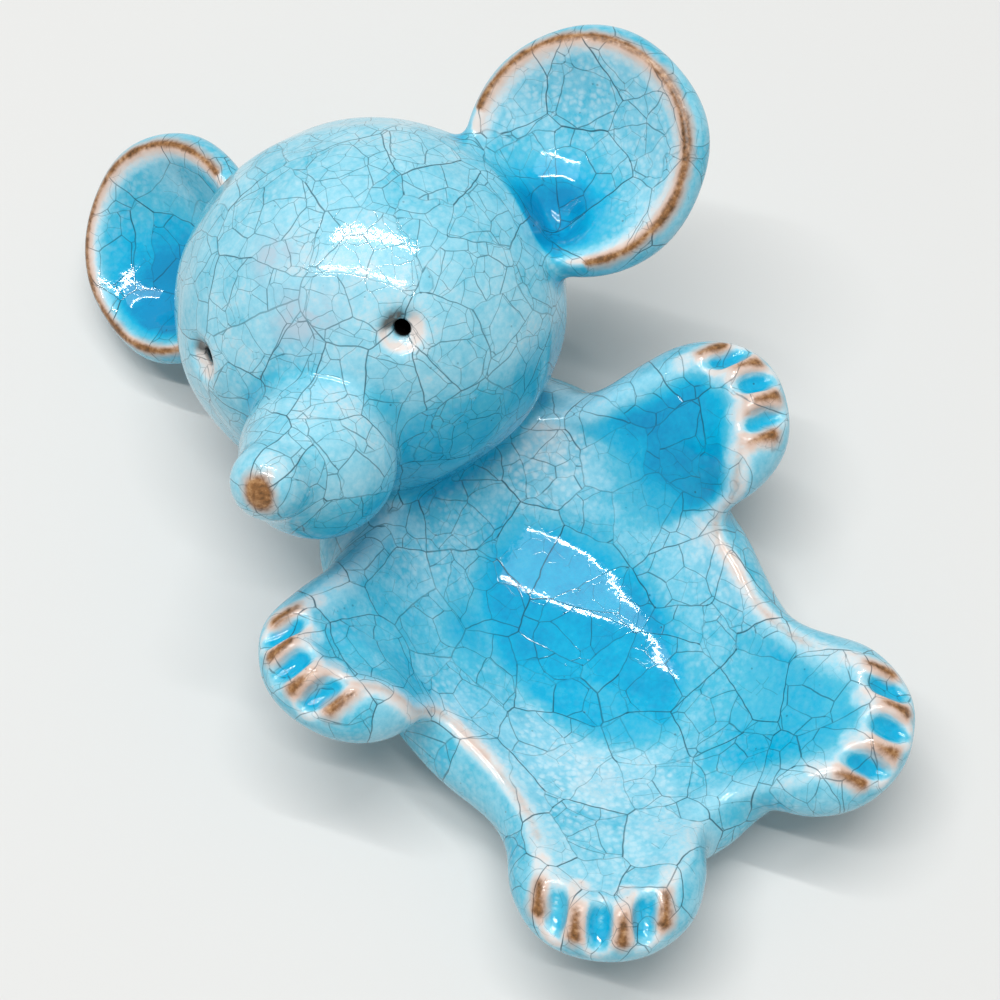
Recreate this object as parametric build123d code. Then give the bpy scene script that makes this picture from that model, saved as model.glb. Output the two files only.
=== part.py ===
from build123d import *
import os
from math import asin, cos, degrees, radians, sin, sqrt

# Glazed earthenware mouse that lies on its back, with its belly hollowed into a small dish.
# Its head is propped up and turned to its right. Millimetres, +Z up, +Y towards the head,
# +X to the mouse's left, origin in the middle of the foot, on the table.

# Body: an egg-shaped bowl, flat underneath
BODY_WIDTH = 70.0
BODY_LENGTH = 101.0
BODY_DEPTH = 30.0
UNDERSIDE_FLAT = 2.5

# Foot: an oval pad of bare clay that the body stands on
FOOT_WIDTH = 49.0
FOOT_LENGTH = 72.0
FOOT_HEIGHT = 1.0

# Belly dish: the hollow in the body, cut by a large egg shape
DISH_WIDTH = 70.0
DISH_LENGTH = 94.0
DISH_DEPTH = 60.0
DISH_FLOOR_WALL = 9.5
DISH_SHIFT = 9.0

# Head: a hollow ball, a little wider than it is tall
HEAD_WIDTH = 67.7
HEAD_HEIGHT = 63.2
HEAD_WALL = 5.0
HEAD_OVERHANG = 4.4
HEAD_CLEARANCE = 6.5
HEAD_PITCH = 46.3
HEAD_ROLL = -6.2
HEAD_TURN = -45.8

# Eyes: pierced vent holes, each in a shallow countersunk dimple
EYE_HOLE_DIAMETER = 3.0
EYE_DIMPLE_DIAMETER = 7.6
EYE_DIMPLE_DEPTH = 1.8
EYE_SIDE_ANGLE = 35.8
LEFT_EYE_RISE_ANGLE = 6.0
RIGHT_EYE_RISE_ANGLE = 9.5

# Muzzle: a solid cone with a round nose
MUZZLE_BASE_DIAMETER = 25.8
NOSE_DIAMETER = 12.5
MUZZLE_REACH = 15.1
MUZZLE_STANDOFF = 4.1
MUZZLE_DROP_ANGLE = 20.5
MUZZLE_RISE_ANGLE = 14.2

# Ears: round cups, sunk a little into the sides of the head
EAR_DIAMETER = 41.3
EAR_THICKNESS = 17.0
EAR_SINK = 9.0
EAR_UP_ANGLE = 19.4
EAR_BACK_ANGLE = 15.8
EAR_OPEN_ANGLE = 10.4
EAR_TILT_ANGLE = 24.5
EAR_RIM_WALL = 0.35
EAR_CUP_WALL = 6.8
EAR_CUP_HEIGHT = 21.3
EAR_CUP_SHIFT = 1.0

# Arms: flattened limbs that reach out sideways and up, the left one a little farther forward
ARM_WIDTH = 30.0
ARM_THICKNESS = 18.0
ARM_ROOT_SIDE = 12.0
ARM_ROOT_FORWARD = 13.0
ARM_ROOT_RISE = 2.5
ARM_OUTREACH = 1.7
LEFT_ARM_TIP_FORWARD = 8.2
RIGHT_ARM_TIP_FORWARD = 7.0
ARM_TIP_RISE = 14.0
LEFT_ARM_TOE_TURN = 0.5
RIGHT_ARM_TOE_TURN = -19.0

# Legs: flattened limbs that spread towards the foot of the dish
LEG_WIDTH = 31.7
LEG_THICKNESS = 18.0
LEG_ROOT_SIDE = 10.4
LEG_ROOT_BACK = 24.3
LEG_TIP_SIDE = 21.5
LEG_TIP_INSET = 6.3
LEG_TIP_RISE = 7.0
LEFT_LEG_TOE_TURN = 8.0
RIGHT_LEG_TOE_TURN = -13.0

# Limb scoops and toe grooves, the same on all four limbs
SCOOP_RIM_WALL = 1.5
SCOOP_DEPTH = 4.5
SCOOP_HEIGHT = 16.0
TOE_COUNT = 3
TOE_STEP_ANGLE = 34.0
TOE_SLOPE_ANGLE = 40.0
TOE_LENGTH = 10.4
TOE_WIDTH = 5.2
TOE_HEIGHT = 4.8
TOE_INSET = 3.0
TOE_RISE_SHARE = 0.58

SIDES = {"left": 1, "right": -1}


def ellipsoid(width, length, height):
    """Egg shape of three full sizes, centred on its own origin."""
    return scale(Sphere(1), by=(width / 2, length / 2, height / 2))


def oval_quarters(width, height):
    """Upper half of an oval as two quarter arcs, from +X over the top to -X."""
    left = scale(CenterArc((0, 0), 1, 0, 90), by=(width / 2, height / 2, 1))
    right = scale(CenterArc((0, 0), 1, 90, 90), by=(width / 2, height / 2, 1))
    return left, right


def round_cone(start_radius, end_radius, reach):
    """Two balls on the X axis, one at the origin and one at reach, with a tangent cone between."""
    slope = degrees(asin((start_radius - end_radius) / reach))
    end_ball = CenterArc((reach, 0), end_radius, 0, 90 - slope)
    start_ball = CenterArc((0, 0), start_radius, 90 - slope, 90 + slope)
    side = Line(end_ball @ 1, start_ball @ 0)
    spine = Line(start_ball @ 1, end_ball @ 0)
    return revolve(make_face([end_ball, side, start_ball, spine]), Axis.X)


def flat_bar(width, thickness, reach):
    """Limb blank along X: a bar with round ends, pressed flat to an oval section."""
    radius = width / 2
    return scale(round_cone(radius, radius, reach), by=(1, 1, thickness / width))


# Body, its belly hollow and the foot under it
body_centre_z = FOOT_HEIGHT - UNDERSIDE_FLAT + BODY_DEPTH / 2
dish_centre_z = FOOT_HEIGHT + DISH_FLOOR_WALL + DISH_DEPTH / 2
egg = Pos(0, 0, body_centre_z) * ellipsoid(BODY_WIDTH, BODY_LENGTH, BODY_DEPTH)
body_blank = split(egg, bisect_by=Plane.XY.offset(FOOT_HEIGHT), keep=Keep.TOP)
belly_hollow = Pos(0, -DISH_SHIFT, dish_centre_z) * ellipsoid(DISH_WIDTH, DISH_LENGTH, DISH_DEPTH)


def make_foot():
    pad = extrude(Ellipse(FOOT_WIDTH / 2, FOOT_LENGTH / 2), body_centre_z)
    return pad - body_blank


# Head, with its own axes: X to the mouse's left, Y to the crown, Z out of the face
head_centre = Vector(0, BODY_LENGTH / 2 + HEAD_OVERHANG, HEAD_CLEARANCE + HEAD_HEIGHT / 2)
face_down_body = Plane(head_centre, x_dir=(1, 0, 0), z_dir=(0, -1, 0))
head_place = face_down_body.location * Rot(X=-HEAD_PITCH) * Rot(Z=HEAD_ROLL) * Rot(Y=HEAD_TURN)
left_brow, right_brow = oval_quarters(HEAD_WIDTH, HEAD_HEIGHT)
head_axis = Line(right_brow @ 1, left_brow @ 0)
head_blank = head_place * revolve(make_face([left_brow, right_brow, head_axis]), Axis.X)


def head_skin(turn, rise):
    """Distance from the head's centre to its skin, in the direction of two angles."""
    across = sin(radians(turn)) * cos(radians(rise))
    along_axis = across / HEAD_WIDTH
    from_axis = sqrt(1 - across**2) / HEAD_HEIGHT
    return 1 / (2 * sqrt(along_axis**2 + from_axis**2))


def make_head():
    left_inside, right_inside = oval_quarters(HEAD_WIDTH - 2 * HEAD_WALL, HEAD_HEIGHT - 2 * HEAD_WALL)
    left_wall = Line(left_inside @ 0, left_brow @ 0)
    right_wall = Line(right_brow @ 1, right_inside @ 1)
    wall = make_face([left_brow, right_brow, right_wall, right_inside, left_inside, left_wall])
    shell = head_place * revolve(wall, Axis.X)
    hole = Cylinder(EYE_HOLE_DIAMETER / 2, HEAD_WIDTH, align=(Align.CENTER, Align.CENTER, Align.MIN))
    dimple = Cone(
        EYE_HOLE_DIAMETER / 2,
        EYE_DIMPLE_DIAMETER / 2,
        EYE_DIMPLE_DEPTH,
        align=(Align.CENTER, Align.CENTER, Align.MAX),
    )
    eye_rises = {"left": LEFT_EYE_RISE_ANGLE, "right": RIGHT_EYE_RISE_ANGLE}
    for side_name, side in SIDES.items():
        rise = eye_rises[side_name]
        gaze = head_place * Rot(Y=side * EYE_SIDE_ANGLE) * Rot(X=-rise)
        skin = head_skin(EYE_SIDE_ANGLE, rise)
        shell = shell - gaze * hole - gaze * Pos(0, 0, skin) * dimple
    return shell


def make_muzzle():
    cone = round_cone(MUZZLE_BASE_DIAMETER / 2, NOSE_DIAMETER / 2, MUZZLE_REACH)
    seat = head_place * Rot(X=MUZZLE_DROP_ANGLE) * Pos(0, 0, HEAD_HEIGHT / 2 + MUZZLE_STANDOFF)
    aim = Rot(X=-MUZZLE_DROP_ANGLE - MUZZLE_RISE_ANGLE) * Rot(Y=-90)
    return seat * aim * cone - head_blank


def make_ear(side):
    """Lens of clay with a cup pressed into its front, the cup nearer to the head."""
    reach = HEAD_WIDTH / 2 + EAR_DIAMETER / 2 - EAR_SINK
    to_side = Rot(Z=side * EAR_UP_ANGLE) * Rot(Y=side * EAR_BACK_ANGLE)
    seat = head_place * Pos(*(to_side * Pos(side * reach, 0, 0)).position)
    facing = seat * Rot(Y=side * EAR_OPEN_ANGLE) * Rot(X=-EAR_TILT_ANGLE)
    cup_diameter = EAR_DIAMETER - 2 * EAR_RIM_WALL
    cup_rise = EAR_CUP_WALL - EAR_THICKNESS / 2 + EAR_CUP_HEIGHT / 2
    lens = ellipsoid(EAR_DIAMETER, EAR_DIAMETER, EAR_THICKNESS)
    cup = ellipsoid(cup_diameter, cup_diameter, EAR_CUP_HEIGHT)
    return facing * (lens - Pos(-side * EAR_CUP_SHIFT, 0, cup_rise) * cup) - head_blank


class Limb:
    """One limb: where it grows from, where its paw is, and the tools that shape it."""

    def __init__(self, root, tip, width, thickness, toe_turn):
        along = tip - root
        across = Vector(0, 0, 1).cross(along)
        self.reach = along.length
        self.width = width
        self.thickness = thickness
        self.toe_turn = toe_turn
        self.place = Plane(root, x_dir=along, z_dir=along.cross(across)).location

    def scoop(self):
        scoop_width = self.width - 2 * SCOOP_RIM_WALL
        lift = self.thickness / 2 - SCOOP_DEPTH + SCOOP_HEIGHT / 2
        return self.place * Pos(0, 0, lift) * flat_bar(scoop_width, SCOOP_HEIGHT, self.reach)

    def toe_groove(self, spread):
        """One pressed stroke, so many degrees round the rim of the paw. All strokes run the same way."""
        out = self.width / 2 - TOE_INSET
        rise = TOE_RISE_SHARE * self.thickness / 2
        paw = self.place * Pos(self.reach, 0, 0) * Rot(Z=self.toe_turn)
        seat = paw * Rot(Z=spread) * Pos(out, 0, rise) * Rot(Z=-spread) * Rot(Y=TOE_SLOPE_ANGLE)
        return seat * ellipsoid(TOE_LENGTH, TOE_WIDTH, TOE_HEIGHT)

    def make(self):
        limb = self.place * flat_bar(self.width, self.thickness, self.reach)
        limb = limb - body_blank - belly_hollow - self.scoop()
        for toe in range(TOE_COUNT):
            spread = (toe - (TOE_COUNT - 1) / 2) * TOE_STEP_ANGLE
            limb = limb - self.toe_groove(spread)
        return limb


def arm(side, tip_forward, toe_turn):
    root = Vector(side * ARM_ROOT_SIDE, ARM_ROOT_FORWARD, body_centre_z + ARM_ROOT_RISE)
    tip = Vector(side * (BODY_WIDTH / 2 + ARM_OUTREACH), tip_forward, body_centre_z + ARM_TIP_RISE)
    return Limb(root, tip, ARM_WIDTH, ARM_THICKNESS, toe_turn)


def leg(side, toe_turn):
    root = Vector(side * LEG_ROOT_SIDE, -LEG_ROOT_BACK, body_centre_z)
    tip = Vector(side * LEG_TIP_SIDE, LEG_TIP_INSET - BODY_LENGTH / 2, body_centre_z + LEG_TIP_RISE)
    return Limb(root, tip, LEG_WIDTH, LEG_THICKNESS, toe_turn)


# The pieces, each written to a file named for it
limbs = {
    "left_arm": arm(SIDES["left"], LEFT_ARM_TIP_FORWARD, LEFT_ARM_TOE_TURN),
    "right_arm": arm(SIDES["right"], RIGHT_ARM_TIP_FORWARD, RIGHT_ARM_TOE_TURN),
    "left_leg": leg(SIDES["left"], LEFT_LEG_TOE_TURN),
    "right_leg": leg(SIDES["right"], RIGHT_LEG_TOE_TURN),
}

body_dish = body_blank - belly_hollow - head_blank
for limb in limbs.values():
    body_dish = body_dish - limb.scoop()

pieces = {
    "foot": make_foot(),
    "body_dish": body_dish,
    "head": make_head(),
    "muzzle": make_muzzle(),
}
for side_name, side in SIDES.items():
    pieces[side_name + "_ear"] = make_ear(side)
for name, limb in limbs.items():
    pieces[name] = limb.make()

os.makedirs("parts", exist_ok=True)
for name, piece in pieces.items():
    export_step(piece, f"parts/{name}.step")
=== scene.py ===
from math import cos, radians, sin

import bpy
import numpy as np
import openvdb
from mathutils import Matrix, Vector


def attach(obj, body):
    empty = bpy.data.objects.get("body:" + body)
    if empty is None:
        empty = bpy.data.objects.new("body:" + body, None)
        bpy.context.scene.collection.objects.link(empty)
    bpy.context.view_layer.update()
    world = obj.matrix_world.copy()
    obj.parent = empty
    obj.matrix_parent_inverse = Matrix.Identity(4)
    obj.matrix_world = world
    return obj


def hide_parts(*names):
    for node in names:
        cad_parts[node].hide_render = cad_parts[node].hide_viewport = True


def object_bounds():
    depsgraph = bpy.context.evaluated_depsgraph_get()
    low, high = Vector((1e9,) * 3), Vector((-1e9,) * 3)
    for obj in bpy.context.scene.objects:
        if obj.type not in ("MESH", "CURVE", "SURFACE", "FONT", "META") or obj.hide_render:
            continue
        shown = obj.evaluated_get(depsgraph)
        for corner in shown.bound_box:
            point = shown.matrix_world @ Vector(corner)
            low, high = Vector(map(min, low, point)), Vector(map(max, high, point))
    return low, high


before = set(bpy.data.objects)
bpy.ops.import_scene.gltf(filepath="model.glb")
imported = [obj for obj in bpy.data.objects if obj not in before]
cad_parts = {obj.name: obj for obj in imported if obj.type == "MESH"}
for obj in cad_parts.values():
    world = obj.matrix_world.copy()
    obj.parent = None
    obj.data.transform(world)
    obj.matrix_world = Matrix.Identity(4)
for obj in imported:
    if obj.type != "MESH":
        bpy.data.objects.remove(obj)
cad_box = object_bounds()

# Body dish
# The lying body: an egg of red clay, pinched out into a shallow bowl that is open where the belly is.
# The clay is worked in millimetres here, each form as a distance from its skin, negative inside the clay.
body_centre = np.array([0.0, 0.0, 13.5])
body_half = (35.0, 50.5, 15.0)
underside_height = 1.0
belly_centre = np.array([0.0, -9.0, 40.5])
belly_half = (35.0, 47.0, 30.0)
pool_centre = np.array([0.0, -7.5, 16.0])
pool_half = (14.0, 25.0, 7.5)
pool_softness = 5.0
pool_floor = 10.3
pool_floor_radius = 90.0
pool_floor_edge = 2.0


def egg_skin(points, half):
    """Distance from an egg with three half sizes, centred on the origin."""
    scaled = points / np.asarray(half)
    reach = np.linalg.norm(scaled, axis=-1)
    steepness = np.linalg.norm(scaled / np.asarray(half), axis=-1)
    return reach * (reach - 1) / np.maximum(steepness, 1e-6)


def oval_skin(out, height, half_width, half_height):
    """Distance from a turned oval, from the distance out of its axis and the height along it."""
    reach = np.hypot(out / half_width, height / half_height)
    steepness = np.hypot(out / half_width**2, height / half_height**2)
    return reach * (reach - 1) / np.maximum(steepness, 1e-6)


def lute(one, other, softness):
    """Two forms joined, with the seam smoothed over with a fingertip of that softness."""
    share = np.clip(0.5 + 0.5 * (other - one) / softness, 0, 1)
    return other + (one - other) * share - softness * share * (1 - share)


def carve(clay, tool, softness):
    """The clay with a tool's form taken out, and the edge left rounded by that softness."""
    return -lute(-clay, tool, softness)


def body_egg(points):
    return egg_skin(points - body_centre, body_half)


def belly_hollow(points):
    bowl = egg_skin(points - belly_centre, belly_half)
    bowl = lute(bowl, egg_skin(points - pool_centre, pool_half), pool_softness)
    above_floor = np.array([0, pool_centre[1], pool_floor + pool_floor_radius])
    filled = pool_floor_radius - np.linalg.norm(points - above_floor, axis=-1)
    return carve(bowl, filled, pool_floor_edge)


# Foot
# An oval pad of the same clay under the body, wiped clean of glaze so that it doesn't stick
# to the kiln shelf. It is luted to the underside, and the whole figurine stands on it.
foot_half_width, foot_half_length = 24.5, 36.0
foot_top = 4.0
foot_edge = 0.8


def foot_pad(points):
    out = np.hypot(points[:, 0] / foot_half_width, points[:, 1] / foot_half_length)
    side = (out - 1) * foot_half_width
    lid = np.maximum(points[:, 2] - foot_top, -points[:, 2])
    return carve(side, -lid, foot_edge)


# Arms and legs
# Four limbs of flattened clay, scooped out along the inside so that they run into the belly.
# Each was pressed on to the body, and its paw was scored with three strokes that leave four toes.
scoop_rim = 1.5
scoop_depth = 4.5
scoop_half_height = 8.0
toe_half = (5.2, 2.2, 2.4)
toe_spreads = (-34.0, 0.0, 34.0)
toe_slope = radians(40.0)
toe_inset = 3.0
toe_rise_share = 0.58


class Limb:
    """One limb with its own axes: along it, across it and up through its thickness."""

    def __init__(self, root, tip, half_width, half_thickness, toe_turn):
        self.root = np.array(root)
        along = np.array(tip) - self.root
        self.reach = np.linalg.norm(along)
        along = along / self.reach
        across = np.cross((0, 0, 1), along)
        across = across / np.linalg.norm(across)
        self.axes = np.stack([along, across, np.cross(along, across)], axis=1)
        self.half_width = half_width
        self.half_thickness = half_thickness
        self.toe_turn = toe_turn

    def local(self, points):
        return (points - self.root) @ self.axes

    def bar(self, local, half_width, half_height):
        along = local[:, 0] - np.clip(local[:, 0], 0, self.reach)
        return oval_skin(np.hypot(along, local[:, 1]), local[:, 2], half_width, half_height)

    def outside(self, points):
        return self.bar(self.local(points), self.half_width, self.half_thickness)

    def scoop(self, points):
        lift = self.half_thickness - scoop_depth + scoop_half_height
        local = self.local(points) - np.array([0, 0, lift])
        return self.bar(local, self.half_width - scoop_rim, scoop_half_height)

    def toe_local(self, points, spread):
        """Places along, across and above a toe that lies so many degrees round the rim of the paw."""
        along, across, up = (self.local(points) - np.array([self.reach, 0, 0])).T
        turn, spread = radians(self.toe_turn), radians(spread)
        out = along * cos(turn) + across * sin(turn) - (self.half_width - toe_inset) * cos(spread)
        beside = across * cos(turn) - along * sin(turn) - (self.half_width - toe_inset) * sin(spread)
        up = up - toe_rise_share * self.half_thickness
        down_out = out * cos(toe_slope) - up * sin(toe_slope)
        return np.stack([down_out, beside, out * sin(toe_slope) + up * cos(toe_slope)], axis=-1)

    def toes(self, points):
        grooves = [egg_skin(self.toe_local(points, spread), toe_half) for spread in toe_spreads]
        return np.minimum.reduce(grooves)


limbs = {
    "left_arm": Limb((12, 13, 16), (36.7, 8.2, 27.5), 15.0, 9.0, 0.5),
    "right_arm": Limb((-12, 13, 16), (-36.7, 7, 27.5), 15.0, 9.0, -19.0),
    "left_leg": Limb((10.4, -24.3, 13.5), (21.5, -44.2, 20.5), 15.85, 9.0, 8.0),
    "right_leg": Limb((-10.4, -24.3, 13.5), (-21.5, -44.2, 20.5), 15.85, 9.0, -13.0),
}

# Head
# A hollow ball of clay, a little wider than it is tall, set into the end of the body with the face turned
# to the mouse's right. The eyes are pierced with a pointed stick and let the steam out in the kiln.
head_centre = np.array([0.0, 54.9, 38.1])
head_half_width, head_half_height = 33.85, 31.6
head_pitch, head_roll, head_turn = 46.3, -6.2, -45.8
eye_side, left_eye_rise, right_eye_rise = 35.8, 6.0, 9.5
eye_hole_radius = 1.5
eye_hole_depth = 15.0
eye_hole_lean = 0.5
eye_lean_start = 1.2
eye_bulge = 0.7
eye_dimple_half = (3.2, 1.8)
eye_dimple_rise = 0.2

upright = Matrix(((1, 0, 0), (0, 0, -1), (0, 1, 0)))
turned = Matrix.Rotation(-radians(head_pitch), 3, "X") @ Matrix.Rotation(radians(head_roll), 3, "Z")
head_axes = np.array(upright @ turned @ Matrix.Rotation(radians(head_turn), 3, "Y"))


def head_local(points):
    return (points - head_centre) @ head_axes


def head_ball(points):
    local = head_local(points)
    return oval_skin(local[:, 0], np.hypot(local[:, 1], local[:, 2]), head_half_width, head_half_height)


def eye_local(points):
    """For the nearer eye: the distance out of its axis, the height above it, the depth below the skin
    and the distance out of the hole, which was pierced from the front and so leans away from the nose."""
    local = head_local(points)
    left = local[:, :1] > 0
    local[:, 0] = np.abs(local[:, 0])
    sideways = Matrix.Rotation(radians(eye_side), 3, "Y")
    left_gaze = np.array(sideways @ Matrix.Rotation(-radians(left_eye_rise), 3, "X"))
    right_gaze = np.array(sideways @ Matrix.Rotation(-radians(right_eye_rise), 3, "X"))
    side, up, front = np.where(left, local @ left_gaze, local @ right_gaze).T
    down = head_half_height + eye_bulge - front
    return np.hypot(side, up), up, down, np.hypot(side - eye_hole_lean * (down - eye_lean_start), up)


def eye_dimple(points):
    out, up, down, bore = eye_local(points)
    return oval_skin(out, down + eye_dimple_rise, eye_dimple_half[0], eye_dimple_half[1])


def eye_hole(points):
    out, up, down, bore = eye_local(points)
    return np.maximum(bore - eye_hole_radius, down - eye_hole_depth)


# Muzzle
# A solid knob of clay luted low on the face and drawn out into a small round nose.
# The glaze is wiped off the very tip, so that a spot of brown clay shows there.
muzzle_middle = np.array([0.0, -12.5, 33.4])
muzzle_radius = 12.9
nose_root = np.array([0.0, -11.0, 38.0])
nose_tip = np.array([0.0, -8.8, 48.04])
nose_radius = 6.25
nose_softness = 5.5


def muzzle_knob(points):
    local = head_local(points)
    bulge = np.linalg.norm(local - muzzle_middle, axis=-1) - muzzle_radius
    along = nose_tip - nose_root
    share = np.clip((local - nose_root) @ along / (along @ along), 0, 1)
    nose = np.linalg.norm(local - nose_root - share[:, None] * along, axis=-1) - nose_radius
    return lute(bulge, nose, nose_softness)


# Ears
# Two round cups, each a lens of clay with a bowl pressed into the front, sunk a little into the head.
# The bowl lies nearer to the head, so it runs out into a pocket there.
ear_radius, ear_half_thickness = 20.65, 8.5
ear_place = np.array([41.28, 14.54, -12.39])
ear_open, ear_tilt = 10.4, 24.5
cup_radius, cup_half_height = 20.3, 10.65
cup_rise, cup_shift = 8.95, 1.0
bowl_half = (12.0, 12.0, 8.0)
bowl_place = np.array([-1.0, 1.0, 4.6])
bowl_softness = 4.0
pocket_half = (6.5, 5.5, 6.0)
pocket_places = {1: np.array([-8.0, -8.0, 2.2]), -1: np.array([2.5, -6.5, 2.2])}
pocket_softness = 3.0


def ear_local(points, side):
    local = head_local(points)
    local[:, 0] *= side
    facing = Matrix.Rotation(radians(ear_open), 3, "Y") @ Matrix.Rotation(-radians(ear_tilt), 3, "X")
    return (local - ear_place) @ np.array(facing)


def ear_lens(points, side):
    local = ear_local(points, side)
    return oval_skin(np.hypot(local[:, 0], local[:, 1]), local[:, 2], ear_radius, ear_half_thickness)


def ear_cup(points, side):
    local = ear_local(points, side)
    out = np.hypot(local[:, 0] + cup_shift, local[:, 1])
    cup = oval_skin(out, local[:, 2] - cup_rise, cup_radius, cup_half_height)
    cup = lute(cup, egg_skin(local - bowl_place, bowl_half), bowl_softness)
    return lute(cup, egg_skin(local - pocket_places[side], pocket_half), pocket_softness)


# Joined clay
# The ten pieces luted wet into one body: each seam is smoothed over, then the hollows are scooped
# and the eyes pierced. The skin of the whole is then cut along the seams into the ten pieces.
grain = 0.55
ears = {"left_ear": 1, "right_ear": -1}
limb_seam, scoop_seam = 6.0, 5.0
foot_seam, muzzle_seam, ear_seam, head_seam = 0.8, 3.6, 3.0, 3.0
dish_edge, toe_edge, cup_edge, dimple_edge, hole_edge = 2.0, 1.1, 1.6, 2.4, 0.5
hand_mark_height = 0.08
limb_start = 0.93
muzzle_clearance = 3.0


def clay_forms(points):
    """Distance from each piece before it is hollowed: this says which piece a point belongs to."""
    forms = {"foot": foot_pad(points)}
    forms["body_dish"] = np.maximum(body_egg(points), underside_height - points[:, 2])
    for name, limb in limbs.items():
        forms[name] = limb.outside(points)
    forms["head"] = head_ball(points)
    forms["muzzle"] = muzzle_knob(points)
    for name, side in ears.items():
        forms[name] = ear_lens(points, side)
    return forms


def hand_marks(points):
    """The slight unevenness that fingers leave, a few tenths of a millimetre."""
    waves = ((0.31, 0.17, 0.11), (-0.13, 0.27, 0.19), (0.09, -0.22, 0.33), (0.45, 0.38, -0.41))
    ups = [np.sin(points @ np.array(wave) + 1.7 * turn) for turn, wave in enumerate(waves)]
    return hand_mark_height * sum(ups)


def body_and_hollow(points, forms):
    """Distances from the body with its limbs luted on, and from the hollow that runs out into the limbs."""
    body = forms["body_dish"]
    hollow = belly_hollow(points)
    for name, limb in limbs.items():
        body = lute(body, forms[name], limb_seam)
        hollow = lute(hollow, limb.scoop(points), scoop_seam)
    return body, hollow


def clay_skin(points):
    """Distance from the skin of the whole mouse."""
    forms = clay_forms(points)
    body = carve(*body_and_hollow(points, forms), dish_edge)
    body = carve(body, np.minimum.reduce([limb.toes(points) for limb in limbs.values()]), toe_edge)
    body = lute(body, forms["foot"], foot_seam)
    head = lute(forms["head"], forms["muzzle"], muzzle_seam)
    for name, side in ears.items():
        head = lute(head, carve(forms[name], ear_cup(points, side), cup_edge), ear_seam)
    head = carve(head, eye_dimple(points), dimple_edge)
    whole = lute(head, body, head_seam) + hand_marks(points)
    whole = carve(whole, eye_hole(points), hole_edge)
    return np.maximum(whole, -points[:, 2])


def in_batches(work, points, size=100000):
    return np.concatenate([work(points[start:start + size]) for start in range(0, len(points), size)])


def spread(blocks):
    return blocks.repeat(4, 0).repeat(4, 1).repeat(4, 2)


# The skin is traced on a fine grid, worked out only near the clay's surface
low = np.array(cad_box[0]) / 0.001 - 3
high = np.array(cad_box[1]) / 0.001 + 3
blocks = np.ceil((high - low) / (4 * grain)).astype(int)
block_places = np.stack(np.meshgrid(*(np.arange(count) for count in blocks), indexing="ij"), axis=-1)
block_middles = low + (block_places.reshape(-1, 3) * 4 + 1.5) * grain
block_skin = in_batches(clay_skin, block_middles).reshape(tuple(blocks))
close = spread(np.abs(block_skin) < 5 * grain)
skin = np.where(spread(block_skin > 0), 2 * grain, -2 * grain).astype(np.float32)
skin[close] = np.clip(in_batches(clay_skin, low + np.argwhere(close) * grain), -2 * grain, 2 * grain)
grid = openvdb.FloatGrid(2 * grain)
grid.copyFromArray(skin)
corners, quads = grid.convertToQuads(0.0)
corners = low + corners.astype(float) * grain
quads = quads.astype(int)

four_ways = np.array([(1, 1, 1), (1, -1, -1), (-1, 1, -1), (-1, -1, 1)])


def slope_and_bend(points, step):
    """Distance from the skin at points, the way in which it grows, and how much the skin bends, per mm."""
    here = in_batches(clay_skin, points)
    around = np.stack([in_batches(clay_skin, points + step * way) for way in four_ways], axis=-1)
    slope = around @ four_ways / (4 * step)
    bend = (around.sum(-1) - 4 * here) / (2 * step**2)
    return here, slope, bend


for settle in range(2):
    gap, slope, bend = slope_and_bend(corners, 0.1)
    steepness = np.maximum((slope**2).sum(-1), 0.1)
    corners = corners - np.clip(gap / steepness, -grain, grain)[:, None] * slope
gap, slope, bend = slope_and_bend(corners, 0.1)
normals = slope / np.maximum(np.linalg.norm(slope, axis=-1, keepdims=True), 1e-6)

middles = corners[quads].mean(axis=1)
names = list(clay_forms(middles[:1]))


def piece_at(points):
    """Number of the piece that each point belongs to. Seen from above, a limb begins at the body's outline,
    and the muzzle ends where it comes close to the body."""
    forms = clay_forms(points)
    forms["muzzle"] = forms["muzzle"] + 10 * np.maximum(muzzle_clearance - forms["body_dish"], 0)
    from_middle = np.hypot(points[:, 0] / body_half[0], points[:, 1] / body_half[1])
    inside_body = np.maximum(limb_start - from_middle, 0)
    for name in limbs:
        forms[name] = forms[name] + 200 * inside_body
    return np.argmin(np.stack(list(forms.values())), axis=0)


owner = in_batches(piece_at, middles)


def seam_loops(faces):
    """Rings of corners along the open edges of a set of faces."""
    starts = faces.ravel()
    ends = np.roll(faces, -1, axis=1).ravel()
    edges = set(zip(starts.tolist(), ends.tolist()))
    after = {start: end for start, end in edges if (end, start) not in edges}
    loops = []
    while after:
        start, corner = after.popitem()
        loop = [start]
        while corner in after:
            loop.append(corner)
            corner = after.pop(corner)
        loops.append(loop)
    return loops


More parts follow.
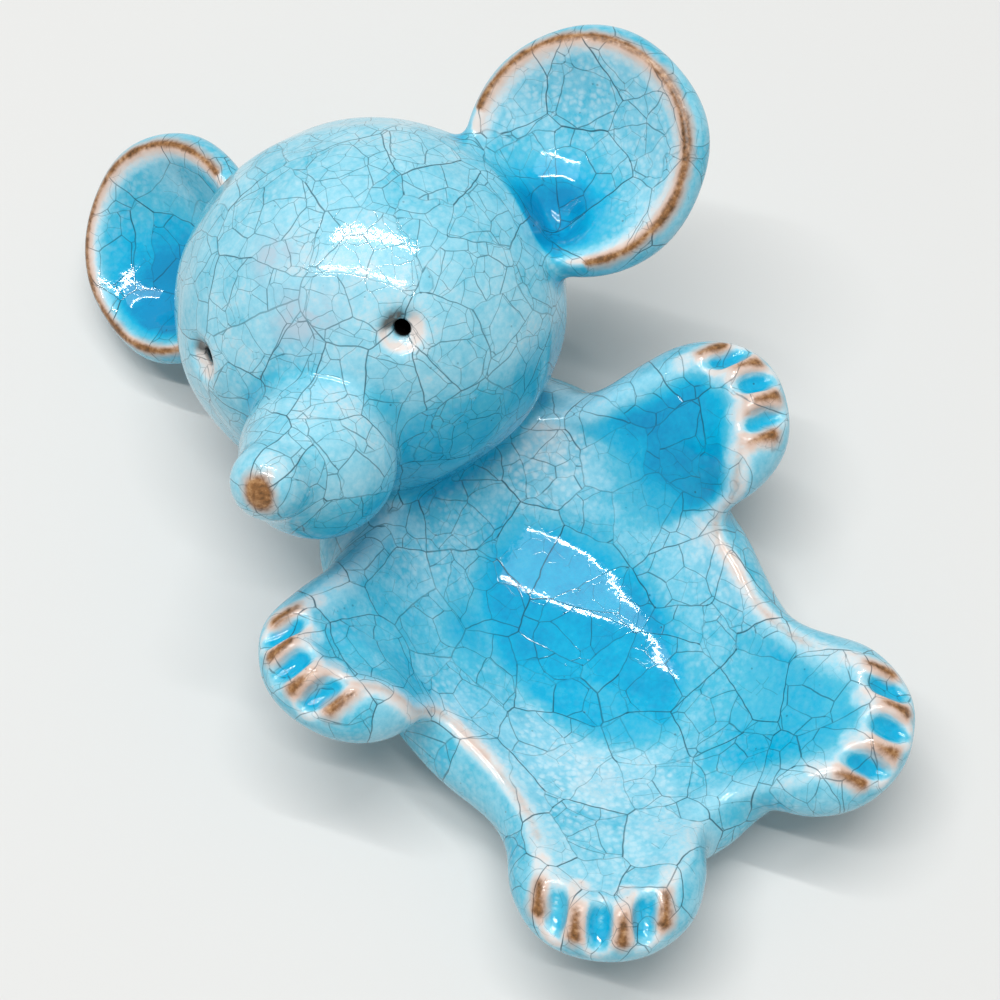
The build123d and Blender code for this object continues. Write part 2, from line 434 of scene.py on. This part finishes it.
# Each piece is closed where it meets its neighbours, by a cap that dips straight into the clay
pieces = {}
skin_place = {}
for number, name in enumerate(names):
    used, faces = np.unique(quads[owner == number], return_inverse=True)
    faces = faces.reshape(-1, 4)
    points, faces_with_caps = [corners[used]], faces.tolist()
    count = len(used)
    for loop in seam_loops(faces):
        ring, inward = corners[used[loop]], normals[used[loop]]
        room = np.clip(-clay_skin(ring - 2 * inward), 0.3, 2)
        dipped = ring - 0.9 * room[:, None] * inward
        hub = dipped.mean(axis=0, keepdims=True)
        for step in range(30):
            hub = hub - 0.3 * slope_and_bend(hub, 0.1)[1]
        points += [dipped, hub]
        for turn, corner in enumerate(loop):
            onward = (turn + 1) % len(loop)
            faces_with_caps.append((loop[onward], corner, count + turn, count + onward))
            faces_with_caps.append((count + onward, count + turn, count + len(loop)))
        count += len(loop) + 1
    mesh = bpy.data.meshes.new(name + "_skin")
    mesh.from_pydata((np.concatenate(points) * 0.001).tolist(), [], faces_with_caps)
    mesh.polygons.foreach_set("use_smooth", np.ones(len(mesh.polygons), dtype=bool))
    cap_normals = np.tile((0.0, 0.0, 1.0), (count - len(used), 1))
    mesh.normals_split_custom_set_from_vertices(np.concatenate([normals[used], cap_normals]).tolist())
    piece = bpy.data.objects.new(name + "_skin", mesh)
    bpy.context.scene.collection.objects.link(piece)
    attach(piece, "root")
    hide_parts(name)
    pieces[name] = piece
    skin_place[name] = used

# Glaze
# A thick crackled alkaline glaze, poured over everything but the foot. It is turquoise, runs off the
# edges until they are white or bare brown, and pools deep blue in the hollows, with fine dark cracks.
# Some of this colour is painted light: the eye holes are painted near black for their shade, the upper wall
# of each eye dimple carries painted shade, and the white below the eyes and along the dish's flanks is
# partly painted highlight.
bare_rim = (-0.3, 1.3)
white_rim = (-4.8, -1.2)
dish_rim_inside, dish_rim_outside = (-4.5, -0.3), (3.0, 0.6)
nose_spot = np.array([0.9, -8.3, 54.2])
nose_spot_half = (2.2, 3.1, 3.0)
toe_ridges = (-51.0, -17.0, 17.0, 51.0)
brow_stains = (((1.1, 19.4, 25.0), (4.0, 3.6, 4.0)), ((5.0, 9.8, 29.7), (6.0, 4.4, 5.0)))
deep_pool = ((1.0, -6.0), (13.5, 22.5))
side_pool = ((-16.0, 6.0), (8.0, 8.0))
glaze_runs = {"left_arm": 0.85, "left_leg": 0.4, "right_arm": 0.15, "right_leg": 0.05}
frost_patches = (
    ((-14.0, -29.0), (12.0, 14.0), 1.0),
    ((16.0, 23.0), (10.0, 10.0), 1.3),
    ((-9.0, 17.0), (12.0, 6.0), 0.4),
    ((28.0, -8.0), (7.0, 13.0), 0.9),
    ((-28.0, -13.0), (5.0, 13.0), 0.9),
)
ear_frost = {1: 0.6, -1: 0.1}
limb_frost = {"right_leg": 0.6}
pocket_spread = {1: 9.5, -1: 12.0}


def step_between(value, low, high):
    share = np.clip((value - low) / (high - low), 0, 1)
    return share * share * (3 - 2 * share)


def rim_offset(points, side):
    """Distance from the crest of an ear's rim, negative inside the cup, and how far off the ear it is."""
    lens = ear_lens(points, side)
    off_ear = np.maximum(np.abs(lens) - 3.5, 0) + np.maximum(3.0 - head_ball(points), 0)
    return lens + ear_cup(points, side), off_ear


def dish_offset(points):
    """Distance from the crest of the dish's rim, negative inside it, how far off the rim a point is,
    and how near it is to the middle of a flank."""
    body, hollow = body_and_hollow(points, clay_forms(points))
    off_rim = np.maximum(np.abs(body - hollow) - 2, 0) + np.maximum(3.0 - head_ball(points), 0)
    return body + hollow, off_rim, step_between(np.abs(points[:, 1] + 14), 31, 17)


def toe_strip(points, limb, spread, middle, half_length):
    """Distance from a stretch of the ridge beside a toe, and the place along that ridge."""
    along, beside, above = limb.toe_local(points, spread).T
    past_end = np.maximum(np.abs(along - middle) - half_length, 0)
    return np.hypot(beside, past_end) + np.maximum(np.abs(above) - 4, 0), along


def bare_gap(points):
    """Distance in mm from the clay that the glaze left bare: ear rims, nose and the ridges between toes.
    Along the flanks the dish's rim comes close to it."""
    gaps = [np.linalg.norm((head_local(points) - nose_spot) / nose_spot_half, axis=-1) * 2.5 - 2.5]
    offset, off_rim, at_flank = dish_offset(points)
    gaps.append(np.abs(offset) + 0.45 + 3 * off_rim + 3 * (1 - at_flank))
    for side in ears.values():
        offset, off_ear = rim_offset(points, side)
        off_ear = off_ear + np.maximum(6.0 - head_ball(points), 0)
        gaps.append(np.abs(offset - sum(bare_rim) / 2) - (bare_rim[1] - bare_rim[0]) / 2 + 3 * off_ear)
    for limb in limbs.values():
        for spread in toe_ridges:
            gap, along = toe_strip(points, limb, spread, 0.8, 2.2)
            gaps.append(gap - 0.55 - 0.14 * np.clip(along, -3, 3))
    return np.minimum.reduce(gaps)


def thin_glaze_and_highlight_share(points):
    """Where the glaze is thin enough to look white: inside the ear rims, around the eyes, nose and toes,
    and along the dish's rim. Below each eye and on the dish's flanks the white is also painted light: the
    lit lower wall of the eye dimple and a highlight along the rim.
    """
    out, up, down, bore = eye_local(points)
    round_eye = step_between(out, 4.4, 2.8) * step_between(down, 6, 4)
    # Below each eye the white is thin glaze and partly painted light on the dimple's lit lower wall
    shares = [round_eye * step_between(up - 0.3 * out, 1.4, -0.6)]
    shares.append(0.12 * step_between(np.linalg.norm(head_local(points) - nose_spot, axis=-1), 9.5, 2.5))
    offset, off_rim, at_flank = dish_offset(points)
    on_rim = step_between(offset, *dish_rim_inside) * step_between(offset, *dish_rim_outside)
    # Along the dish's rim, most on the flanks, the white is thin glaze and partly a painted highlight
    shares.append((0.3 + 0.3 * at_flank) * on_rim * step_between(off_rim, 2, 0))
    for side in ears.values():
        offset, off_ear = rim_offset(points, side)
        near = step_between(offset, *white_rim) * step_between(offset, 1.0, 0.0)
        shares.append(near * step_between(off_ear, 1.5, 0))
    for limb in limbs.values():
        for spread in toe_ridges:
            gap = toe_strip(points, limb, spread, -1.0, 3.2)[0]
            shares.append(0.8 * step_between(gap, 2.6, 0.9))
    return np.maximum.reduce(shares)


def from_pool(points, middle, half):
    """How far out of an oval of the belly points are, seen from above: 1 on its edge."""
    return np.linalg.norm((points[:, :2] - np.array(middle)) / np.array(half), axis=-1)


def thick_share(points):
    """Where the glaze ran together: the belly's pool, the limbs' channels and the ears' pockets."""
    deep = 0.75 * step_between(from_pool(points, *deep_pool), 1.2, 0.85)
    beside = 0.42 * step_between(from_pool(points, *side_pool), 1.1, 0.3)
    in_belly = step_between(points[:, 2], 19, 15) * step_between(body_egg(points), -1, -3)
    shares = [np.maximum(deep, beside) * in_belly]
    for name, limb in limbs.items():
        to_paw = step_between(limb.local(points)[:, 0] / limb.reach, 0.1, 0.7)
        shares.append(glaze_runs[name] * to_paw * step_between(limb.outside(points), -1.2, -3.8))
    under_chin = head_local(points)[:, 1] + 8 * (muzzle_knob(points) < head_ball(points))
    on_face = step_between(np.minimum(muzzle_knob(points), head_ball(points)), 2.5, 0.5)
    shares.append(0.5 * step_between(under_chin, -6, -15) * on_face)
    for side in ears.values():
        from_pocket = (ear_local(points, side) - pocket_places[side]) / pocket_spread[side]
        in_ear = step_between(ear_lens(points, side), 0.5, -1.0)
        shares.append(1.5 * np.exp(-(from_pocket**2).sum(-1)) * in_ear)
    return np.maximum.reduce(shares)


def ear_back(points):
    """The outside of the ears, where the glaze lies even up to the rim."""
    shares = []
    for side in ears.values():
        offset = rim_offset(points, side)[0]
        shares.append(step_between(offset, 0.6, 1.6) * step_between(np.abs(ear_lens(points, side)), 2, 1))
    return np.maximum.reduce(shares)


def frost_share(points):
    """Where the glaze came out thin and sugary: low on the belly, beside the neck and inside the ears."""
    shares = [
        strength * np.exp(-from_pool(points, middle, half) ** 2) * step_between(body_egg(points), 0.2, -1.2)
        for middle, half, strength in frost_patches
    ]
    for name, strength in limb_frost.items():
        shares.append(strength * step_between(limbs[name].outside(points), -1.0, -3.5))
    for side in ears.values():
        from_pocket = (ear_local(points, side) - pocket_places[side]) / 10
        in_cup = step_between(ear_lens(points, side), -1.0, -3.5)
        shares.append(ear_frost[side] * in_cup * (1 - np.exp(-(from_pocket**2).sum(-1))))
    return np.maximum.reduce(shares) * step_between(head_ball(points), 0, 3)


near_bend = slope_and_bend(corners, 0.7)[2]
wide_bend = slope_and_bend(corners, 1.6)[2]
on_face = step_between(np.minimum(head_ball(corners), muzzle_knob(corners)), 2.5, 0.3)
eye_out, eye_up, eye_down, eye_bore = eye_local(corners)
brow_reach = [((head_local(corners) - np.array(middle)) / half) ** 2 for middle, half in brow_stains]
ear_backs = in_batches(ear_back, corners)
# How far down each eye hole a point lies, for the painted shade inside it
in_bore = step_between(eye_down, 1.7, 3.0) * step_between(eye_down, 20, 17)
# The upper wall of each eye dimple, which gets painted shade with a brown-grey stain
over_eye = step_between(eye_up, 0.2, 1.6) * step_between(eye_down, 6, 4)
marks = {
    "thick": np.maximum(0.64 * step_between(-wide_bend, 0.04, 0.36), in_batches(thick_share, corners)),
    "thin": step_between(near_bend, 0.12, 0.7) * (1 - 0.9 * ear_backs) * (1 - 0.5 * on_face),
    "frost": in_batches(frost_share, corners),
    "white": in_batches(thin_glaze_and_highlight_share, corners),
    "bare": np.clip(in_batches(bare_gap, corners), -2, 10),
    "face": on_face,
    "hole": step_between(eye_bore, 2.5, 1.9) * in_bore,
    "stain": step_between(eye_out, 4.3, 2.0) * over_eye,
    "brow": sum(np.exp(-reach.sum(-1)) for reach in brow_reach),
}
for name, piece in pieces.items():
    for mark, values in marks.items():
        stored = np.zeros(len(piece.data.vertices), dtype=np.float32)
        stored[:len(skin_place[name])] = values[skin_place[name]]
        piece.data.attributes.new(mark, "FLOAT", "POINT").data.foreach_set("value", stored)


class Wire:
    """A socket of a material: sums on it add Math nodes, and any other node comes from one method."""

    def __init__(self, tree, socket=None):
        self.tree = tree
        self.socket = socket

    def node(self, kind, settings, sockets, output=0):
        made = self.tree.nodes.new("ShaderNode" + kind)
        for name, value in settings.items():
            if name == "stops":
                while len(made.color_ramp.elements) < len(value):
                    made.color_ramp.elements.new(1)
                for stop, (place, colour) in zip(made.color_ramp.elements, value):
                    stop.position, stop.color = place, colour
            else:
                setattr(made, name, value)
        for name, value in sockets.items():
            if isinstance(value, Wire):
                self.tree.links.new(value.socket, made.inputs[name])
            else:
                made.inputs[name].default_value = value
        return Wire(self.tree, made.outputs[output])

    def maths(self, operation, first, second):
        return self.node("Math", {"operation": operation}, {0: first, 1: second})

    def __add__(self, other):
        return self.maths("ADD", self, other)

    def __sub__(self, other):
        return self.maths("SUBTRACT", self, other)

    def __rsub__(self, other):
        return self.maths("SUBTRACT", other, self)

    def __mul__(self, other):
        return self.maths("MULTIPLY", self, other)

    __radd__ = __add__
    __rmul__ = __mul__

    def between(self, low, high):
        return self.node("MapRange", {"interpolation_type": "SMOOTHSTEP"}, {0: self, 1: low, 2: high})

    def painted(self, colour, share):
        return self.node("Mix", {"data_type": "RGBA"}, {0: share, 6: self, 7: colour}, 2)

    def mark(self, name):
        return self.node("Attribute", {"attribute_name": name}, {}, "Fac")

    def noise(self, place, size, detail=2.0, output="Fac"):
        sockets = {"Vector": place, "Scale": 1 / size, "Detail": detail, "Roughness": 0.6}
        return self.node("TexNoise", {}, sockets, output)

    def shifted(self, place, amount):
        return self.node("VectorMath", {"operation": "MULTIPLY_ADD"}, {0: self, 1: (amount,) * 3, 2: place})


def tint(red, green, blue):
    """A colour as it is seen, 0 to 255, as light."""
    parts = (np.array((red, green, blue)) / 255 + 0.055) / 1.055
    return (*(parts**2.4).tolist(), 1.0)


def cracks(ink, place, facing, size, width):
    """Lines between the cells of a crackle of that size, about that wide, in metres. The farther of
    two places, just above the skin and just below, keeps a line narrow where a cell's wall lies flat."""
    above, below = (
        ink.node("TexVoronoi", {"feature": "DISTANCE_TO_EDGE"},
                 {"Vector": facing.shifted(place, step * width), "Scale": 1 / size})
        for step in (0.4, -0.4)
    )
    return above.maths("MAXIMUM", above, below).between(0.6 * width / size, 0.15 * width / size)


glaze = bpy.data.materials.new("crackle_glaze")
glaze.use_nodes = True
ink = Wire(glaze.node_tree)
place = ink.node("TexCoord", {}, {}, "Object")
facing = ink.node("TexCoord", {}, {}, "Normal")
thick, thin, white, bare = (ink.mark(name) for name in ("thick", "thin", "white", "bare"))
frost, face = ink.mark("frost"), ink.mark("face")

cloud = ink.noise(place, 0.016, 2.0)
ripple = ink.noise(place, 0.004, 3.0)
grit = ink.noise(place, 0.0009, 3.0)
swirl = ink.noise(place, 0.007, 2.0, "Color").shifted(place, 0.0018)
cell = ink.node("TexVoronoi", {"feature": "F1"}, {"Vector": swirl, "Scale": 1 / 0.012}, "Color")
runny = 0.35 + 0.65 * cloud.between(0.36, 0.6)
# The white mark lightens thin glaze; below the eyes and on the dish's flanks it also holds painted light
depth = 0.46 + 0.5 * thick - 0.42 * thin * runny - 0.38 * white * (0.2 + 1.6 * ripple)
depth = depth - 0.2 * frost - 0.1 * face
depth = depth + 0.34 * (cloud - 0.5) + 0.24 * (ripple - 0.5) + 0.28 * (grit - 0.5) + 0.16 * (cell - 0.5)
colour = ink.node("ValToRGB", {"stops": (
    (0.0, tint(224, 215, 209)),
    (0.1, tint(214, 222, 224)),
    (0.3, tint(150, 212, 230)),
    (0.52, tint(78, 186, 213)),
    (0.76, tint(0, 170, 210)),
    (1.0, tint(0, 140, 188)),
)}, {"Fac": depth})

rough_place = ink.noise(place, 0.0015, 2.0, "Color").shifted(place, 0.0012)
grains = ink.node("TexVoronoi", {"feature": "F1"}, {"Vector": rough_place, "Scale": 1 / 0.0012})
sugar = grains.between(0.7, 0.1) * (0.15 + 0.3 * cloud.between(0.42, 0.66) + frost)
sugar = sugar * (1 - thick) * (1 - thick)
colour = colour.painted(tint(214, 236, 242), 0.5 * sugar)
colour = colour.painted(tint(172, 198, 212), 0.85 * ink.mark("brow") * (0.5 + ripple.between(0.4, 0.6)))
# Painted shade on the upper wall of each eye dimple, mixed with a brown-grey stain
colour = colour.painted(tint(92, 96, 94), 0.95 * ink.mark("stain") * (0.4 + ripple.between(0.4, 0.6)))
colour = colour.painted(tint(206, 160, 130), 0.6 * (bare + 2.0 * (ripple - 0.5)).between(1.7, 0.0))

inner = cell.shifted(swirl, 0.1)
inner_cell = ink.node("TexVoronoi", {"feature": "F1"}, {"Vector": inner, "Scale": 1 / 0.0066}, "Color")
wander = ink.noise(place, 0.02, 1.0)
main_cracks = cracks(ink, swirl, facing, 0.012, 0.00036) * (0.5 + 0.5 * wander.between(0.3, 0.55))
side_cracks = cracks(ink, inner, facing, 0.0066, 0.0003)
side_cracks = side_cracks * (face + cell.between(0.38, 0.48)).between(0.2, 0.8)
hair_cracks = cracks(ink, inner_cell.shifted(inner, 0.1), facing, 0.0037, 0.0002)
hair_cracks = hair_cracks * (inner_cell + 0.2 * face).between(0.5, 0.6)
lines = main_cracks.maths("MAXIMUM", main_cracks, 0.75 * side_cracks)
lines = lines.maths("MAXIMUM", lines, (0.4 + 0.2 * face) * hair_cracks)
spots = ink.node("TexVoronoi", {"feature": "F1"}, {"Vector": place, "Scale": 1 / 0.0026})
pits = spots.between(0.1, 0.05) * ripple.between(0.5, 0.58) * (0.5 + 0.6 * thick)
colour = colour.painted(tint(20, 66, 80), 0.84 * lines)
colour = colour.painted(tint(20, 40, 48), 0.7 * pits)

worn = (bare + 0.6 * (grit - 0.5) + 1.5 * (ripple - 0.5)).between(0.5, -0.6)
clay_colour = ink.node("ValToRGB", {"stops": (
    (0.34, tint(84, 58, 32)),
    (0.5, tint(142, 98, 56)),
    (0.68, tint(194, 150, 104)),
)}, {"Fac": 0.6 * grit + 0.4 * ripple})
colour = colour.painted(clay_colour, worn)
# Painted shade: the inside of each eye hole is painted near black for the shade down in it
colour = colour.painted(tint(16, 13, 12), ink.mark("hole"))

shader = glaze.node_tree.nodes["Principled BSDF"]
gloss = 0.07 + 0.26 * worn + 0.05 * sugar
height = 0.5 * ripple + 0.05 * grit - 0.08 * lines - 0.3 * pits - 0.3 * worn
bump = ink.node("Bump", {}, {"Height": height, "Strength": 0.25, "Distance": 0.0006}, "Normal")
for socket, wire in (("Base Color", colour), ("Roughness", gloss), ("Normal", bump)):
    glaze.node_tree.links.new(wire.socket, shader.inputs[socket])

for name, piece in pieces.items():
    if name != "foot":
        piece.data.materials.append(glaze)

# Bare foot
# The pad that the glaze was wiped from: red clay burnt to a sandy brown, dry to the touch,
# with darker iron specks and the faint drag marks of the sponge.
bare_clay = bpy.data.materials.new("bare_clay")
bare_clay.use_nodes = True
ink = Wire(bare_clay.node_tree)
place = ink.node("TexCoord", {}, {}, "Object")
sand = ink.noise(place, 0.0007, 4.0)
drag = ink.noise(place, 0.006, 2.0)
colour = ink.node("ValToRGB", {"stops": (
    (0.25, tint(92, 58, 40)),
    (0.5, tint(160, 112, 78)),
    (0.75, tint(188, 146, 112)),
)}, {"Fac": 0.6 * sand + 0.4 * drag})
bump = ink.node("Bump", {}, {"Height": sand, "Strength": 0.5, "Distance": 0.0004}, "Normal")
shader = bare_clay.node_tree.nodes["Principled BSDF"]
bare_clay.node_tree.links.new(colour.socket, shader.inputs["Base Color"])
bare_clay.node_tree.links.new((0.75 + 0.2 * drag).socket, shader.inputs["Roughness"])
bare_clay.node_tree.links.new(bump.socket, shader.inputs["Normal"])
pieces["foot"].data.materials.append(bare_clay)

# Table, light and camera
# A pale table, two ceiling strips in diffusers with a dim panel between them, and the camera,
# which looks down from above the mouse's right side.
bpy.ops.mesh.primitive_plane_add(size=6)
table = bpy.context.object
table.name = "table"
table_paint = bpy.data.materials.new("table_paint")
table_paint.use_nodes = True
shader = table_paint.node_tree.nodes["Principled BSDF"]
shader.inputs["Base Color"].default_value = tint(217, 217, 215)
shader.inputs["Roughness"].default_value = 0.7
table.data.materials.append(table_paint)

room = bpy.data.worlds.new("room")
bpy.context.scene.world = room
room.use_nodes = True
room.node_tree.nodes["Background"].inputs["Color"].default_value = (1, 1, 1, 1)
room.node_tree.nodes["Background"].inputs["Strength"].default_value = 0.36

lamp_height, lamp_length = 1.45, 1.15
lamp_target = Vector((0, 0.02, 0.03))
lamp_up = Vector((-0.06, 0.08, 0.99)).normalized()
lamp_along = Vector((0.604, -0.785, 0.0))
lamp_along = (lamp_along - lamp_along.dot(lamp_up) * lamp_up).normalized()
lamp_across = lamp_up.cross(lamp_along)
lamp_turn = Matrix((lamp_along, lamp_across, lamp_up)).transposed().to_4x4()
strips = (
    ("near_strip", -0.26, 0.04, 8.3),
    ("far_strip", 0.26, 0.04, 8.3),
    ("near_diffuser", -0.26, 0.1, 0.9),
    ("far_diffuser", 0.26, 0.1, 0.9),
    ("panel", 0, 0.47, 3.2),
)
for name, across, width, power in strips:
    light = bpy.data.lights.new(name, "AREA")
    light.shape = "RECTANGLE"
    light.size, light.size_y = lamp_length, width
    light.energy = power
    lamp = bpy.data.objects.new(name, light)
    lamp.matrix_world = lamp_turn
    lamp.location = lamp_target + lamp_height * lamp_up + across * lamp_across
    bpy.context.scene.collection.objects.link(lamp)

view_rise, view_turn, view_width = radians(65.52), radians(-34.97), radians(24.29)
view_distance = 0.39464
view_target = Vector((0.00074, 0.01759, 0.025))
view_back = Vector((sin(view_turn) * cos(view_rise), -cos(view_turn) * cos(view_rise), sin(view_rise)))
view_right = Vector((0, 0, 1)).cross(view_back).normalized()
lens = bpy.data.cameras.new("camera")
lens.sensor_fit = "HORIZONTAL"
lens.angle = view_width
lens.clip_start = 0.01
camera = bpy.data.objects.new("camera", lens)
camera.matrix_world = Matrix((view_right, view_back.cross(view_right), view_back)).transposed().to_4x4()
camera.location = view_target + view_distance * view_back
bpy.context.scene.collection.objects.link(camera)
bpy.context.scene.camera = camera
bpy.context.scene.view_settings.view_transform = "Standard"
